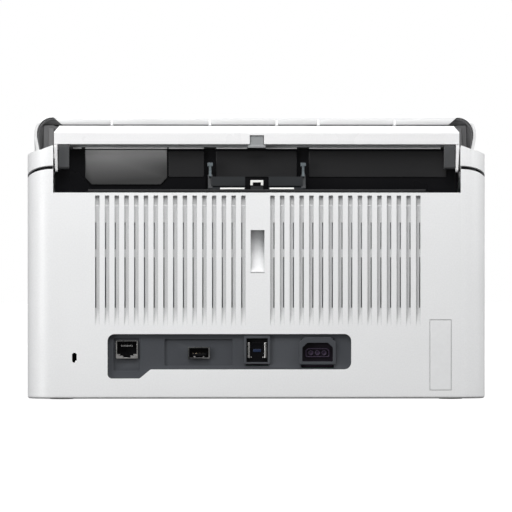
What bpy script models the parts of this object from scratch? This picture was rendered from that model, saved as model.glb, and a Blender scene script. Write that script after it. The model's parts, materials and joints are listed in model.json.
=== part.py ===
"""Desktop sheet-fed document scanner, closed: input tray folded over the top, output tray pushed in.

All shapes are worked out in millimetres and stored in metres. X runs to the right as seen from the front,
the front faces -Y, Z is up, and the origin is on the desk under the middle of the machine.
"""

import math

import bmesh
import bpy
from mathutils import Matrix, Vector

for old in list(bpy.data.objects):
    bpy.data.objects.remove(old, do_unlink=True)

MM = 0.001

# ---------------------------------------------------------------- driving dimensions, mm
HALF = 155.0  # half the overall width
BACK = 99.0  # rear face
FRONT = -99.0
TOP = 193.0  # rear edge of the hood
WALL = 2.5  # thickness of the housing
GAP = 0.3  # between neighbouring pieces
CORNER = 18.0  # radius of the upright corners
MOUTH = 137.7  # half width of the rear opening
MOUTH_SILL = 139.7  # height of the sill of the rear opening
SEAM_BACK = 157.0  # parting line of the housing at the rear, and how fast it falls forwards
SEAM_FALL = 0.38
SEAM_GAP = 1.8
TRAY_TILT = math.radians(11.5)  # the folded tray falls forwards this much
HINGE = (90.0, 155.5)  # y, z of the input tray hinge
LINER = 12.0  # distance of the tray's paper side from the hinge
PATH_TOP = (95.6, 141.6)  # y, z where the paper path enters; it falls forwards at 45 degrees
HATCH_PIVOT = (-80.0, 26.0)
HATCH_REACH = 103.5  # radius that the swinging front hatch needs
PAN_TOP = 19.0
FRAME_IN = 117.5  # side frames: inner face and sheet thickness
FRAME_SHEET = 3.0
FRAME_OUT = FRAME_IN + FRAME_SHEET


# ---------------------------------------------------------------- frames of reference
def on_path(s, t):
    """(y, z) at a distance s down the paper path and t off it, towards the front."""
    side = math.sqrt(0.5)
    return PATH_TOP[0] - side * (s + t), PATH_TOP[1] - side * (s - t)


def on_tray(u, w):
    """(y, z) at a distance u forwards of the hinge along the folded tray and w above the hinge."""
    cos, sin = math.cos(TRAY_TILT), math.sin(TRAY_TILT)
    return HINGE[0] - u * cos - w * sin, HINGE[1] - u * sin + w * cos


FACE_FOOT = (-98.0, 45.0)  # the sloping front face of the hatch
FACE_HEAD = (-84.0, 127.5)
FACE_LENGTH = math.dist(FACE_FOOT, FACE_HEAD)


def on_face(g, f):
    """(y, z) at a distance g up the front face of the hatch and f out of it."""
    up = ((FACE_HEAD[0] - FACE_FOOT[0]) / FACE_LENGTH, (FACE_HEAD[1] - FACE_FOOT[1]) / FACE_LENGTH)
    return FACE_FOOT[0] + g * up[0] - f * up[1], FACE_FOOT[1] + g * up[1] + f * up[0]


def along_x(y, z, x):
    return x, y, z


def along_y(x, z, y):
    return x, y, z


def along_z(x, y, z):
    return x, y, z


def off_path(x, s, t):
    return x, *on_path(s, t)


def off_tray(x, u, w):
    return x, *on_tray(u, w)


def off_tray_section(x, w, u):
    return x, *on_tray(u, w)


def off_face(x, g, f):
    return x, *on_face(g, f)


# ---------------------------------------------------------------- shapes
def prism(outline, place, low, high):
    """A straight solid: the outline lies across the direction in which it runs from low to high."""
    mesh = bmesh.new()
    ends = [[mesh.verts.new(Vector(place(a, b, c)) * MM) for a, b in outline] for c in (low, high)]
    count = len(outline)
    mesh.faces.new(ends[0])
    mesh.faces.new(ends[1])
    for i in range(count):
        j = (i + 1) % count
        mesh.faces.new((ends[0][i], ends[0][j], ends[1][j], ends[1][i]))
    bmesh.ops.recalc_face_normals(mesh, faces=mesh.faces)
    data = bpy.data.meshes.new("shape")
    mesh.to_mesh(data)
    mesh.free()
    shape = bpy.data.objects.new("shape", data)
    bpy.context.scene.collection.objects.link(shape)
    return shape


def rectangle(a, b):
    return [(a[0], b[0]), (a[1], b[0]), (a[1], b[1]), (a[0], b[1])]


def box(x, y, z):
    return prism(rectangle(x, y), along_z, *z)


def circle(centre, radius, sides=24):
    steps = [2 * math.pi * i / sides for i in range(sides)]
    return [(centre[0] + radius * math.cos(a), centre[1] + radius * math.sin(a)) for a in steps]


def rod(centre, radius, low, high, sides=24, place=along_x):
    return prism(circle(centre, radius, sides), place, low, high)


def slab(place, x, a, b):
    """A block whose sides follow one of the sloping frames of reference."""
    return prism(rectangle(x, a), place, *b)


def fillet(corners, steps=4):
    """The outline through (a, b, radius) corners, each turned into an arc of its radius."""
    outline = []
    for i, (a, b, radius) in enumerate(corners):
        here = Vector((a, b))
        if radius == 0:
            outline.append((a, b))
            continue
        before = (Vector(corners[i - 1][:2]) - here).normalized()
        after = (Vector(corners[(i + 1) % len(corners)][:2]) - here).normalized()
        half = before.angle(after) / 2
        centre = here + (before + after).normalized() * (radius / math.sin(half))
        start = here + before * (radius / math.tan(half)) - centre
        end = here + after * (radius / math.tan(half)) - centre
        first = math.atan2(start.y, start.x)
        turn = (math.atan2(end.y, end.x) - first + math.pi) % (2 * math.pi) - math.pi
        for k in range(steps + 1):
            angle = first + turn * k / steps
            outline.append((centre.x + radius * math.cos(angle), centre.y + radius * math.sin(angle)))
    return outline


def rounded(a, b, radius, steps=4):
    return fillet([(p, q, radius) for p, q in rectangle(a, b)], steps)


def arc(centre, radius, first, last, steps):
    """Points on a circle, the angles in degrees."""
    angles = [math.radians(first + (last - first) * k / steps) for k in range(steps + 1)]
    return [(centre[0] + radius * math.cos(a), centre[1] + radius * math.sin(a)) for a in angles]


def boolean(shape, operation, tools):
    for tool in tools:
        modifier = shape.modifiers.new(operation.lower(), "BOOLEAN")
        modifier.operation = operation
        modifier.solver = "EXACT"
        modifier.object = tool
        tool.hide_render = True
        tool.display_type = "WIRE"
    return shape


def cut(shape, *tools):
    return boolean(shape, "DIFFERENCE", tools)


def fuse(shape, *tools):
    return boolean(shape, "UNION", tools)


def common(shape, *tools):
    return boolean(shape, "INTERSECT", tools)


def group(shapes):
    """Shapes that don't touch each other, as one cutter."""
    mesh = bmesh.new()
    for shape in shapes:
        mesh.from_mesh(shape.data)
        bpy.data.objects.remove(shape)
    data = bpy.data.meshes.new("group")
    mesh.to_mesh(data)
    mesh.free()
    made = bpy.data.objects.new("group", data)
    bpy.context.scene.collection.objects.link(made)
    return made


def both_sides(build):
    """What build(side) makes on the right and on the left."""
    return [build(side) for side in (1, -1)]


def span(side, near, far):
    """An interval of x on one side of the machine."""
    return tuple(sorted((side * near, side * far)))


# ---------------------------------------------------------------- materials
def paint(name, colour, roughness, metallic=0.0):
    material = bpy.data.materials.new(name)
    material.use_nodes = True
    shader = material.node_tree.nodes["Principled BSDF"]
    shader.inputs["Base Color"].default_value = (*colour, 1.0)
    shader.inputs["Roughness"].default_value = roughness
    shader.inputs["Metallic"].default_value = metallic
    return material


WHITE = paint("white_plastic", (0.82, 0.82, 0.80), 0.45)
LIGHT = paint("light_grey_plastic", (0.55, 0.55, 0.54), 0.5)
DARK = paint("dark_plastic", (0.035, 0.036, 0.04), 0.45)
SLATE = paint("slate_plastic", (0.06, 0.063, 0.07), 0.5)
GREY = paint("grey_plastic", (0.16, 0.165, 0.17), 0.4)
BLACK = paint("gloss_black", (0.012, 0.012, 0.014), 0.12)
SCREEN = paint("screen_glass", (0.02, 0.024, 0.03), 0.06)
GLASS = paint("scan_glass", (0.30, 0.34, 0.34), 0.05)
STEEL = paint("steel_sheet", (0.55, 0.56, 0.57), 0.35, 1.0)
SHAFT = paint("bright_steel", (0.65, 0.65, 0.66), 0.22, 1.0)
NICKEL = paint("nickel_shell", (0.70, 0.70, 0.70), 0.25, 1.0)
RUBBER = paint("black_rubber", (0.03, 0.03, 0.032), 0.8)
TYRE = paint("grey_rubber", (0.13, 0.14, 0.15), 0.75)
NYLON = paint("nylon_white", (0.75, 0.75, 0.72), 0.5)
BOARD = paint("board_green", (0.03, 0.16, 0.08), 0.45)
LABEL = paint("label_paper", (0.70, 0.70, 0.69), 0.6)


def part(name, shape, material, pivot=None):
    """Names a finished piece, paints it and puts its origin on its joint."""
    shape.name = name
    shape.data.name = name
    shape.data.materials.clear()
    shape.data.materials.append(material)
    if pivot:
        offset = Vector(pivot) * MM
        shape.data.transform(Matrix.Translation(-offset))
        shape.location = offset
    return shape


def smooth(shape):
    shape.data.shade_smooth()
    shape.data.set_sharp_from_angle(angle=math.radians(35))
    return shape


# ---------------------------------------------------------------- housing
def plan(inset, low, high):
    """The footprint of the housing, set in by a distance, as a straight solid."""
    sides = (-HALF + inset, HALF - inset), (FRONT + inset, BACK - inset)
    return prism(rounded(*sides, CORNER - inset, 6), along_z, low, high)


def seam(y):
    return SEAM_BACK - SEAM_FALL * (BACK - WALL - y)


BEYOND = 120.0  # well outside the housing, for cutters


def above_seam(offset):
    edge = [(-BEYOND, seam(-BEYOND) + offset), (BEYOND, seam(BEYOND) + offset)]
    return prism([*edge, (BEYOND, 220), (-BEYOND, 220)], along_x, -200, 200)


def make_rear_cover():
    shell = plan(0, 1.5, 160)
    inside = plan(WALL, -5, 170)
    mouth = box((-MOUTH, MOUTH), (60, BEYOND), (MOUTH_SILL, 180))
    front = box((-MOUTH, MOUTH), (-BEYOND, -70), (-5, 180))
    notch_boss = box((-7.5, 7.5), (87, BACK - 1), (82, 118))
    shell = fuse(cut(shell, inside), notch_boss)
    cut(shell, mouth, front, above_seam(-SEAM_GAP / 2))

    notch = [(BEYOND, 114.4), (90, 114.4), (90, 106), *arc((103, 107), 13, 184, 252, 5), (BEYOND, 86)]
    cut(shell, prism(notch, along_x, -4.65, 4.65))

    channel = [(BEYOND, 137.7), (BACK - 1.7, 137.7), (BACK - 1.7, 62), (BACK + 0.1, 48.9), (BEYOND, 48.9)]
    channels, slits = [], []
    for i in range(16):
        for side in (1, -1):
            middle = side * (9.9 + 6.6 * i)
            channels.append(prism(channel, along_x, middle - 1.5, middle + 1.5))
            slit = span(side, abs(middle) + 0.5, abs(middle) + 1.4)
            slits.append(box(slit, (BACK - 4, BACK + 1), (101.5, 119.5)))
            slits.append(box(slit, (BACK - 4, BACK + 1), (62, 96)))
    cut(shell, group(channels), group(slits))

    ports = fillet([(101, 44.2, 4.7), (101, 14.2, 3), (79.4, 14.2, 0), (72, 20.3, 0),
                    (-63.6, 20.3, 4.7), (-63.6, 44.2, 4.7)])
    lock = rounded((123, 126.1), (24, 31), 1.4, 3)
    cut(shell, prism(ports, along_y, 90, 110), prism(lock, along_y, 90, 110))
    cut(shell, box((-131.5, -116.5), (BACK - 0.5, 110), (6, 54)))
    return part("rear_cover", smooth(shell), WHITE)


COVER_TOP = 11.4  # height of the side covers above the hinge, square to the folded tray


def make_side_cover(side):
    """Hollow upper cover beside the mouth: its top follows the tray and its foot follows the seam."""
    def section(inset, foot):
        corners = [(side * (MOUTH + inset), foot, 0), (side * (HALF - inset + 0.5), foot, 0),
                   (side * (HALF - inset + 0.5), COVER_TOP - 2.6 - inset, 2.5),
                   (side * (MOUTH + inset), COVER_TOP + 1.5 - inset, 0.5)]
        return prism(fillet(corners), off_tray_section, -40, 230)

    outer = section(0, -90)
    common(outer, plan(0, 40, 220), above_seam(SEAM_GAP / 2))
    inner = section(2.2, -100)
    common(inner, plan(2.2, 30, 230), above_seam(-10))
    cut(outer, inner, rod(HINGE, 2.8, *span(side, MOUTH - 2, MOUTH + 5)))
    return part("right_side_cover" if side > 0 else "left_side_cover", smooth(outer), WHITE)


TRAY_SLOT = 122.3  # half width of the slot for the output tray


def make_bottom_cover():
    pan = plan(WALL + GAP, 2.3, PAN_TOP)
    slot = box((-TRAY_SLOT, TRAY_SLOT), (-BEYOND, 70), (4.3, 40))
    pockets = group(both_sides(lambda side: box(span(side, 126, 148), (-70, 80), (4.3, 40))))
    rear_pocket = box((-120, 120), (73, 90), (4.3, 40))
    bezel_room = box((-72, 109), (92.5, BEYOND), (5, 40))
    cut(pan, slot, pockets, rear_pocket, bezel_room)
    for side in (1, -1):
        post = box(span(side, 123, 137), (-89.6, -70), (PAN_TOP - 3, 30.6))
        fuse(pan, post)
        cut(pan, rod(HATCH_PIVOT, 3.2, *span(side, 121, 129)))
    return part("bottom_cover", pan, DARK)


def make_feet():
    for name, x, y in (("foot_front_right", 1, -1), ("foot_front_left", -1, -1),
                       ("foot_rear_right", 1, 1), ("foot_rear_left", -1, 1)):
        part(name, smooth(rod((x * 132, y * 78), 8, 0, 2.0, 20, along_z)), RUBBER)


# ---------------------------------------------------------------- ports on the rear
BEZEL_BACK = BACK - WALL - GAP


def make_ports():
    plate = box((-70, 107), (BEZEL_BACK - 2.2, BEZEL_BACK), (7, 50))
    openings = [
        ("ethernet_jack", (80.8, 95.7), (27.3, 39.5), NICKEL, (82.5, 94), (29, 37)),
        ("usb_host_port", (32.1, 46.3), (27.7, 35.1), NICKEL, (33, 45.4), (28.6, 34.2)),
        ("usb_device_port", (-7.5, 7.5), (23, 41), LIGHT, (-5.6, 5.6), (25, 38.5)),
        ("power_inlet", (-51.7, -30.1), (21.5, 40.8), SLATE, (-49, -33), (24.5, 38)),
    ]
    holes = []
    for name, x, z, material, mouth_x, mouth_z in openings:
        wide = (x[0] - GAP, x[1] + GAP), (z[0] - GAP, z[1] + GAP)
        holes.append(box(wide[0], (85, 110), wide[1]))
        jack = box(x, (90.2, BACK - 1.6), z)
        cut(jack, box(mouth_x, (92, 110), mouth_z))
        middle = sum(mouth_x) / 2
        if name == "power_inlet":
            for across in (-4.5, 0, 4.5):
                blade = box((middle + across - 0.8, middle + across + 0.8), (91, 96.5), (29, 33.5))
                fuse(jack, blade)
        else:
            tongue_z = sum(mouth_z) / 2
            fuse(jack, box((mouth_x[0] + 1.5, mouth_x[1] - 1.5), (91, 96), (tongue_z - 0.9, tongue_z + 0.9)))
        part(name, jack, material)
    for x, z in (((79.4, 97), (19.2, 41.5)), ((16.6, 62.5), (22.6, 40.8))):
        cut(plate, box(x, (BEZEL_BACK - 0.6, 110), z))
    cut(plate, group(holes))
    part("port_bezel", plate, SLATE)
    part("rating_label", box((-131, -117), (BACK - 0.4, BACK - 0.1), (6.5, 53.5)), LABEL)
    board = box((-68, 112), (87.6, 89.2), (PAN_TOP + 1.5, 64))
    part("main_board", board, BOARD)


# ---------------------------------------------------------------- chassis
FEED_AXIS = on_path(122, -7.6)
EXIT_AXIS = on_path(152, -6.6)
PICK_AXIS = on_path(76, -11.7)
RETARD_AXIS = on_path(76, 10.8)
FEED_PINCH = on_path(122, 6.9)
EXIT_PINCH = on_path(152, 6.9)
MOTOR_AXIS = (52.0, 45.0)
IDLER_AXIS = ((FEED_AXIS[0] + PICK_AXIS[0]) / 2, (FEED_AXIS[1] + PICK_AXIS[1]) / 2)


def make_frame(side):
    """Folded sheet: an upright plate, a foot on the pan and a shelf beside the paper path."""
    profile = [(-50, 20), (84, 20), (84, 130), (96, 136), (96, 138), (56, 138), (40, 110), (0, 72), (-50, 40)]
    sheet = prism(profile, along_x, *span(side, FRAME_IN, FRAME_OUT))
    fuse(sheet, box(span(side, FRAME_IN + 1, 137.2), (56.2, 96.2), (136, 138)))
    fuse(sheet, box(span(side, FRAME_IN + 1, 123.8), (-49, 70), (PAN_TOP + GAP, 21.5)))
    shafts = [(FEED_AXIS, 3.3), (EXIT_AXIS, 3.3), (PICK_AXIS, 3.3)]
    if side > 0:
        shafts.append((MOTOR_AXIS, 4.5))
    holes = [rod(axis, radius, *span(side, 110, 125), 16) for axis, radius in shafts]
    cut(sheet, group(holes))
    return part("right_frame" if side > 0 else "left_frame", sheet, STEEL)


CHUTE_HALF = 116.0
CHUTE_END = 165.0
SCAN_WINDOW = (129.6, 144.6)
TYRES = (-40.0, 40.0)


def make_lower_chute():
    plate = slab(off_path, (-CHUTE_HALF, CHUTE_HALF), (1.5, CHUTE_END), (-2, 0))
    holes = [slab(off_path, (-108, 108), SCAN_WINDOW, (-9, 9)), slab(off_path, (-14, 14), (64, 88), (-9, 9))]
    for x in TYRES:
        holes.append(slab(off_path, (x - 9.5, x + 9.5), (114, 128.5), (-9, 9)))
        holes.append(slab(off_path, (x - 9.5, x + 9.5), (145.8, 159), (-9, 9)))
    for side in (1, -1):
        holes.append(slab(off_path, span(side, 10, 110), (9.5, 12.8), (-9, 9)))
    holes.append(rod((0, 24), 2.4, -9, 9, 12, off_path))
    cut(plate, group(holes))
    return part("lower_chute", plate, DARK)


def make_scanners():
    module = slab(off_path, (-109, 109), (130.6, 144.0), (-14, -2.6))
    cut(module, slab(off_path, (-106, 106), (133, 141.6), (-9, 5)))
    part("lower_scan_module", module, BLACK)
    part("lower_scan_glass", slab(off_path, (-107, 107), (130, 144.2), (-2.2, -0.3)), GLASS)
    module = slab(off_path, (-109, 109), (130.6, 144.0), (3.9, 15))
    cut(module, slab(off_path, (-106, 106), (133, 141.6), (-5, 10)))
    part("upper_scan_module", module, BLACK)
    part("upper_scan_glass", slab(off_path, (-107, 107), (130, 144.2), (1.6, 3.5)), GLASS)


FAR_WALL = 80.0  # rear face of the feeder, seen through the mouth
FAR_FOOT = 139.3


def make_feeder_cover():
    """Fixed cover over the pick rollers. Its rear wall faces the mouth; its front clears the hatch's swing."""
    roof = [on_tray(7, 15.3), on_tray(35, 15.3), on_tray(36, LINER - 2.0), on_tray(148, LINER - 2.0)]
    under = [(FAR_WALL, FAR_FOOT), on_path(58, 9), on_path(66, 3.2), on_path(111.5, 3.2)]
    swing = arc(HATCH_PIVOT, HATCH_REACH, 23.5, 75.5, 10)
    cover = prism([*roof[:1], *under, *swing, *roof[:0:-1]], along_x, -136.5, 136.5)
    inner = [(FAR_WALL - WALL, 166), (FAR_WALL - WALL, FAR_FOOT + 1.4), on_path(57.5, 11), on_path(67, 5.2),
             on_path(109, 5.2), *arc(HATCH_PIVOT, HATCH_REACH + 2.5, 25, 75, 10),
             (roof[3][0] + 2, roof[3][1] - 2.6), (roof[2][0] + 2.5, roof[2][1] - 2.0),
             (roof[1][0] + 2.2, roof[1][1] - 2.2)]
    cut(cover, prism(inner, along_x, -150, 150))
    for side in (1, -1):
        wing = prism([(-80, 118), (56, 139), (90, 139), (90, 0), (-80, 0)], along_x,
                     *span(side, CHUTE_HALF + 0.5, 150))
        cut(cover, wing)
    cut(cover, slab(off_path, (-16, 16), (60, 92), (-2, 24)))
    for side in (1, -1):
        cut(cover, box(span(side, 28.2, 34.6), (FAR_WALL - 1.4, 90), (130, 180)))
    for low_x, high_x in ((-129, -35.6), (-27.3, 27.3), (35.6, 59.5)):
        fuse(cover, box((low_x, high_x), (FAR_WALL - 0.6, FAR_WALL + 0.8), (150.5, 168)))
    return part("feeder_cover", cover, DARK)


def make_service_plate():
    outline = fillet([(60.6, 169, 0), (115, 169, 0), (115, 150, 2), (110.5, 145.5, 2), (65, 145.5, 2),
                      (60.6, 150, 2)], 2)
    return part("service_plate", prism(outline, along_y, FAR_WALL + 0.3, FAR_WALL + 1.5), GREY)


def make_retard():
    """The braked roller that holds back all but the lowest sheet, in its holder."""
    holder = slab(off_path, (-15, 15), (61, 91), (9, 23.5))
    cut(holder, slab(off_path, (-11.5, 11.5), (64, 88), (-5, 21)))
    cut(holder, rod(RETARD_AXIS, 1.9, -14, 14, 12))
    part("retard_holder", holder, GREY)
    roller = rod(RETARD_AXIS, 10, -10.5, 10.5, 28)
    fuse(roller, rod(RETARD_AXIS, 1.6, -13.5, 13.5, 12))
    part("retard_roller", smooth(roller), TYRE, (0, *RETARD_AXIS))


# ---------------------------------------------------------------- rollers, gears and belt
def teeth(count, module, phase):
    """Outline of a spur gear with straight-flanked, slightly thin teeth; one tooth points along phase."""
    pitch = 2 * math.pi / count
    root, tip = module * (count / 2 - 1.2), module * (count / 2 + 0.75)
    outline = []
    for i in range(count):
        middle = phase + i * pitch
        for radius, share in ((root, -0.26), (tip, -0.11), (tip, 0.11), (root, 0.26)):
            angle = middle + share * pitch
            outline.append((radius * math.cos(angle), radius * math.sin(angle)))
    return outline


def moved(outline, centre):
    return [(a + centre[0], b + centre[1]) for a, b in outline]


def angle_to(here, there):
    return math.atan2(there[1] - here[1], there[0] - here[0])


def tyre(name, axis, middle, half, radius):
    ring = rod(axis, radius, middle - half, middle + half, 32)
    cut(ring, rod(axis, 3.15, middle - half - 2, middle + half + 2, 16))
    return part(name, smooth(ring), TYRE, (middle, *axis))


def make_drive():
    """Shafts with their pulleys on the right and their gears on the left, and the belt and motor."""
    pulleys = {"motor": 7, "feed": 9, "exit": 8}
    axes = {"motor": MOTOR_AXIS, "feed": FEED_AXIS, "exit": EXIT_AXIS, "pick": PICK_AXIS}
    gears = {"feed": (20, angle_to(FEED_AXIS, IDLER_AXIS)), "pick": (20, angle_to(PICK_AXIS, IDLER_AXIS))}
    shafts = {"motor": rod(MOTOR_AXIS, 2.5, 117.8, 131, 12), "feed": rod(FEED_AXIS, 3, -131, 131, 16),
              "exit": rod(EXIT_AXIS, 3, -121.5, 131, 16), "pick": rod(PICK_AXIS, 3, -131, 40, 16)}
    for name, shaft in shafts.items():
        if name in pulleys:
            fuse(shaft, rod(axes[name], pulleys[name], 123.5, 129.5, 24))
        if name in gears:
            count, phase = gears[name]
            fuse(shaft, prism(moved(teeth(count, 1.0, phase), axes[name]), along_x, -129, -123))
        part(f"{name}_shaft", smooth(shaft), SHAFT, (0, *axes[name]))
    for name, radius in (("feed", 8), ("exit", 7)):
        for x, label in zip(TYRES, ("left", "right")):
            tyre(f"{name}_tyre_{label}", axes[name], x, 8, radius)
    tyre("pick_tyre", PICK_AXIS, 0, 12, 12)

    phase = angle_to(IDLER_AXIS, FEED_AXIS) + math.pi / 26
    idler = prism(moved(teeth(26, 1.0, phase), IDLER_AXIS), along_x, -129, -123)
    fuse(idler, rod(IDLER_AXIS, 2.5, -124, -121.2, 12))
    part("idler_gear", idler, NYLON, (0, *IDLER_AXIS))
    part("drive_belt", make_belt([(axes[name], radius) for name, radius in pulleys.items()]), RUBBER)
    part("drive_motor", smooth(rod(MOTOR_AXIS, 17.5, 92, 117, 28)), STEEL)


def make_belt(wheels):
    """The loop round the pulleys: the hull of their rims, less the same hull set in."""
    def loop(extra, low, high):
        rims = [p for axis, radius in wheels for p in circle(axis, radius + extra, 36)]
        return prism(hull(rims), along_x, low, high)

    return cut(loop(1.6, 124.5, 128.5), loop(GAP, 120, 135))


def hull(points):
    """Convex hull, anticlockwise."""
    points = sorted(set(points))

    def half(ordered):
        chain = []
        for p in ordered:
            while len(chain) > 1:
                (ax, ay), (bx, by) = chain[-2:]
                if (bx - ax) * (p[1] - ay) - (by - ay) * (p[0] - ax) > 1e-9:
                    break
                chain.pop()
            chain.append(p)
        return chain[:-1]

    return half(points) + half(points[::-1])


# ---------------------------------------------------------------- document guides
PINION_S = 24.0  # distance of the pinion down the paper path
PINION_TEETH = 12
RACK_PITCH = math.pi  # module 1


def make_guide(side):
    """Guide wall with its flat foot; a tongue of the rack beneath carries it."""
    wall_outline = fillet([(*on_path(0.5, 1.8), 1), (*on_path(44, 1.8), 2), (*on_path(40, 8), 3),
                           (*on_path(10.5, 8), 2), (82.7, 160.5, 1.5), (86.5, 160.5, 1.5), (87, 154, 2)], 3)
    wall = prism(wall_outline, along_x, *span(side, 30, 33))
    fuse(wall, slab(off_path, span(side, 8, 31), (0.8, 30), (1.8, 5.6)))
    cut(wall, slab(off_path, span(side, 0, 20), (8, 19), (3.8, 9)))
    return part("right_guide" if side > 0 else "left_guide", wall, DARK)


def make_rack(side):
    """Rack under the chute: the right one runs above the pinion, the left one below it."""
    up = -side  # direction along the path from the pinion to this rack
    pitch_line = PINION_S + up * 6
    low, high = sorted((side * 24, -side * 90))
    base = pitch_line + up * 1.25
    outline = [(low, pitch_line + up * 4), (low, base)]
    count = int((high - low) / RACK_PITCH)
    first = math.ceil((low + 1.0) / RACK_PITCH)
    for i in range(first, first + count):
        middle = (i + 0.5) * RACK_PITCH
        if middle + 1.2 > high:
            break
        for shift, height in ((-0.85, base), (-0.4, pitch_line - up * 0.75),
                              (0.4, pitch_line - up * 0.75), (0.85, base)):
            outline.append((middle + shift, height))
    outline += [(high, base), (high, pitch_line + up * 4)]
    rack = prism(outline, off_path, -5.6, -2.6)
    return rack


def make_racks():
    for side in (1, -1):
        rack = make_rack(side)
        if side > 0:
            fuse(rack, slab(off_path, span(side, 13, 22), (9.9, 15), (-5.3, -2.9)))
        else:
            fuse(rack, slab(off_path, span(side, 15, 22), (31.5, 33.5), (-8.2, -3.1)))
            fuse(rack, slab(off_path, span(side, 14.5, 21.5), (10.1, 33.2), (-8.5, -6.2)))
        fuse(rack, slab(off_path, span(side, 14, 21), (10.0, 12.2), (-8 if side < 0 else -5, 1)))
        fuse(rack, slab(off_path, span(side, 8.5, 25), (-0.6, 12.4), (0.3, 1.5)))
        part("right_rack" if side > 0 else "left_rack", rack, NYLON)
    outline = moved(teeth(PINION_TEETH, 1.0, math.pi / 2), (0, PINION_S))
    pinion = prism(outline, off_path, -5.6, -2.6)
    fuse(pinion, rod((0, PINION_S), 2.0, -4, 1.2, 12, off_path))
    part("guide_pinion", pinion, NYLON, (0, *on_path(PINION_S, 0)))
    bridge = slab(off_path, (-4.4, 4.4), (0.6, 4.4), (0.3, 5.5))
    cut(bridge, slab(off_path, (-2.4, 2.4), (-5, 10), (-2, 3.6)))
    part("pinion_bridge", bridge, NYLON)


# ---------------------------------------------------------------- input tray
PLATE_FROM, PLATE_TO = 37.0, 182.0  # the broad part of the tray, along it from the hinge
HOOD_HALF = 152.0
HOOD_BACK = 57.0


def make_tray():
    frame = slab(off_tray, (-144.5, 144.5), (PLATE_FROM + 3, PLATE_TO), (LINER + 4.6, LINER + 7.8))
    fuse(frame, slab(off_tray, (-135.8, 135.8), (-3, PLATE_FROM + 6), (LINER + 5.0, LINER + 7.4)))
    bar = [(86, 172.8, 1), (92, 172.8, 1), (92, 180.2, 0), (87.5, 185, 0.5), (86, 185, 0)]
    fuse(frame, prism(fillet(bar, 3), along_x, -136.5, 136.5))
    for side in (1, -1):
        mitre = [(side * x, z) for x, z in ((130.5, 186), (137.5, 186), (137.5, 178.5))]
        cut(frame, prism(mitre, along_y, 80, 100))
    for side in (1, -1):
        arm = [(86.5, 176, 0), (91.6, 176, 0), *[(p[0], p[1], 0) for p in arc(HINGE, 4.6, 0, -180, 8)]]
        fuse(frame, prism(fillet(arm), along_x, *span(side, 134.3, 136.2)))
        fuse(frame, rod(HINGE, 2.5, *span(side, 135, 141.5), 16))
        fuse(frame, slab(off_tray, span(side, 141.5, 144.2), (PLATE_FROM + 4, PLATE_TO - 1), (LINER + 5.4, LINER + 13)))
        fuse(frame, slab(off_tray, span(side, 60, 62), (12, PLATE_TO - 2), (LINER + 5.6, LINER + 14)))
    cut(frame, box((-4.7, 4.7), (80, 100), (170, 176)))
    part("tray_frame", frame, WHITE, (0, *HINGE))
    part("tray_tab", box((-4.4, 4.4), (86.8, 91.4), (169.0, 175.7)), GREY)

    liner = slab(off_tray, (-132, 132), (PLATE_FROM + 4, PLATE_TO - 1), (LINER, LINER + 4.3))
    cut(liner, slab(off_tray, (-128, 128), (PLATE_FROM + 8, PLATE_TO - 5), (LINER + 2.2, LINER + 9)))
    fuse(liner, slab(off_tray, (-125, 125), (1, PLATE_FROM + 6), (LINER + 3.4, LINER + 4.4)))
    cut(liner, box((-6, 6), (84, 100), (150, 190)))
    part("tray_liner", liner, DARK)


def make_tray_extension():
    """Outer hood over the folded tray; it is open to the rear and slides forwards along the tray."""
    sin, cos = math.sin(TRAY_TILT), math.cos(TRAY_TILT)
    low, high = 13.2, (HINGE[0] - HOOD_BACK) * sin + (TOP - HINGE[1]) * cos
    back = (HINGE[0] - HOOD_BACK - high * sin) / cos
    right = [(147.5, low, 0), (HOOD_HALF + 0.3, high - 9, 6), (137, high, 22)]
    room_right = [(145, low - 5, 0), (145.3, low, 0), (HOOD_HALF - 1.7, high - 10, 5), (134, high - 4.6, 16)]
    section = fillet([*right, *[(-x, w, r) for x, w, r in right[::-1]]], 5)
    inside = fillet([*room_right, *[(-x, w, r) for x, w, r in room_right[::-1]]], 5)
    hood = prism(section, off_tray_section, back, 190)
    room = prism(inside, off_tray_section, back - 10, 200)
    cut(hood, common(room, box((-170, 170), (FRONT + WALL, 130), (60, 260))))
    cut(hood, box((-160, 160), (HOOD_BACK, 110), (140, 220)))
    cut(hood, box((-160, 160), (-140, FRONT), (100, 220)))
    cut(hood, box((-160, 160), (-150, 150), (TOP, 220)))
    for x in (98, 31, -14.5, -43, -95):
        fuse(hood, slab(off_tray, (x - 1, x + 1), (back + 4, 181), (high - 7, high - 3)))
    return part("tray_extension", smooth(hood), WHITE)


# ---------------------------------------------------------------- front hatch
HATCH_HALF = 137.0


def make_hatch():
    skin = [(-97.5, 33, 0), (*FACE_FOOT, 6), (*FACE_HEAD, 5), (-58, 124.6, 0), (-58, 122.1, 0),
            (-82.2, 124.6, 3), (-95.4, 45, 4), (-95, 33, 0)]
    cover = prism(fillet(skin, 3), along_x, -HATCH_HALF, HATCH_HALF)
    for side in (1, -1):
        cheek = [(-96, 34), (-96, 44), (-83, 125), (-59, 122.5), (-68, 108), (-86, 40), (-88, 34)]
        fuse(cover, prism(cheek, along_x, *span(side, HATCH_HALF - 2.5, HATCH_HALF)))
    cut(cover, box((-24.4, 24.4), (-70.4, -61.6), (110, 140)))
    for _, x, radius in BUTTONS:
        cut(cover, rod((x, 44), radius + GAP, -8, 8, 20, off_face))
    cut(cover, slab(off_face, (-52.4, 52.4), (14, 74), (-1.2, 5)))
    return part("hatch_cover", cover, WHITE, (0, *HATCH_PIVOT))


BUTTONS = (("power_button", -78.0, 7.0), ("scan_button", 78.0, 9.0))


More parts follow.
